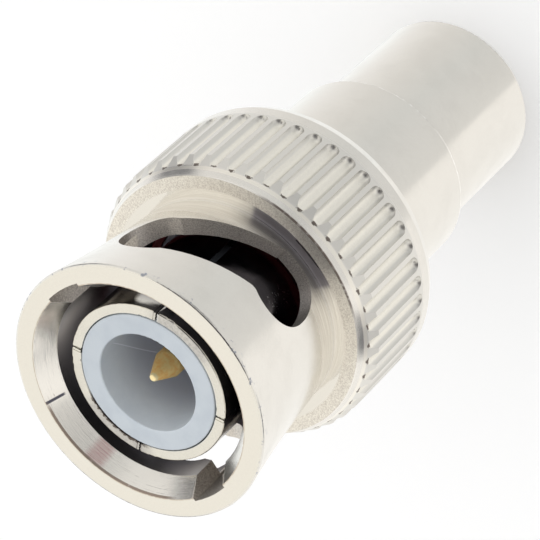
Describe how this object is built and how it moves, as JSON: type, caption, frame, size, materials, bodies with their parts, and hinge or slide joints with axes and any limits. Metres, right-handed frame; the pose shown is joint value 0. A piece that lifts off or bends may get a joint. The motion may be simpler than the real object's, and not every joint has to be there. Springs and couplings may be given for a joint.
{
  "type": "bnc terminator",
  "caption": "Nickel-plated bayonet coaxial terminator: bell-mouthed coupling nut with cam slots and fluted grip, slotted contact, gold pin, stepped closed tail.",
  "frame": {"origin": "centre of the closed tail's end face, on which the part stands", "axes": "+Z along the connector's axis, from the tail to the mouth; +X through one entry notch of the nut"},
  "size_m": [0.0148, 0.0148, 0.0293],
  "materials": {
    "gold_pin": "gold plate over brass",
    "nickel_contact": "bright nickel plate over spring bronze",
    "nickel_nut": "satin nickel plate over turned brass",
    "nickel_shell": "satin nickel plate over turned brass",
    "plain_brass": "turned brass, unplated",
    "red_gasket": "red silicone",
    "resistor_film": "lacquered ceramic rod",
    "solder": "dull tin solder",
    "spring_steel": "bright spring steel",
    "tinned_steel": "tinned steel",
    "tinned_wire": "tinned copper wire",
    "white_insulator": "pale bluish moulded plastic"
  },
  "bodies": {
    "plug": {"plug_body": "nickel_shell", "outer_contact": "nickel_contact", "gasket": "red_gasket", "front_insulator": "white_insulator", "rear_insulator": "white_insulator", "centre_pin": "gold_pin", "wave_washer_front": "spring_steel", "wave_washer_rear": "spring_steel", "retaining_ring": "spring_steel", "rear_shell": "nickel_shell", "end_cap": "nickel_shell", "resistor_core": "resistor_film", "resistor_cap_front": "tinned_steel", "resistor_cap_rear": "tinned_steel", "resistor_lead_front": "tinned_wire", "resistor_lead_rear": "tinned_wire", "solder_front": "solder", "ground_disc": "plain_brass", "solder_rear": "solder"},
    "washer": {"thrust_washer": "spring_steel"},
    "nut": {"coupling_nut": "nickel_nut"}
  },
  "joints": [
    {"name": "nut_pull", "type": "slide", "parent": "plug", "child": "washer", "axis": [0, 0, 1], "range_m": [0, 0.0007], "stiffness_N_per_m": 2500, "springref_m": -0.0004, "deforming": ["wave_washer_front", "wave_washer_rear"]},
    {"name": "nut_turn", "type": "hinge", "parent": "washer", "child": "nut", "pos_m": [0, 0, 0.02], "axis": [0, 0, 1], "continuous": true}
  ]
}
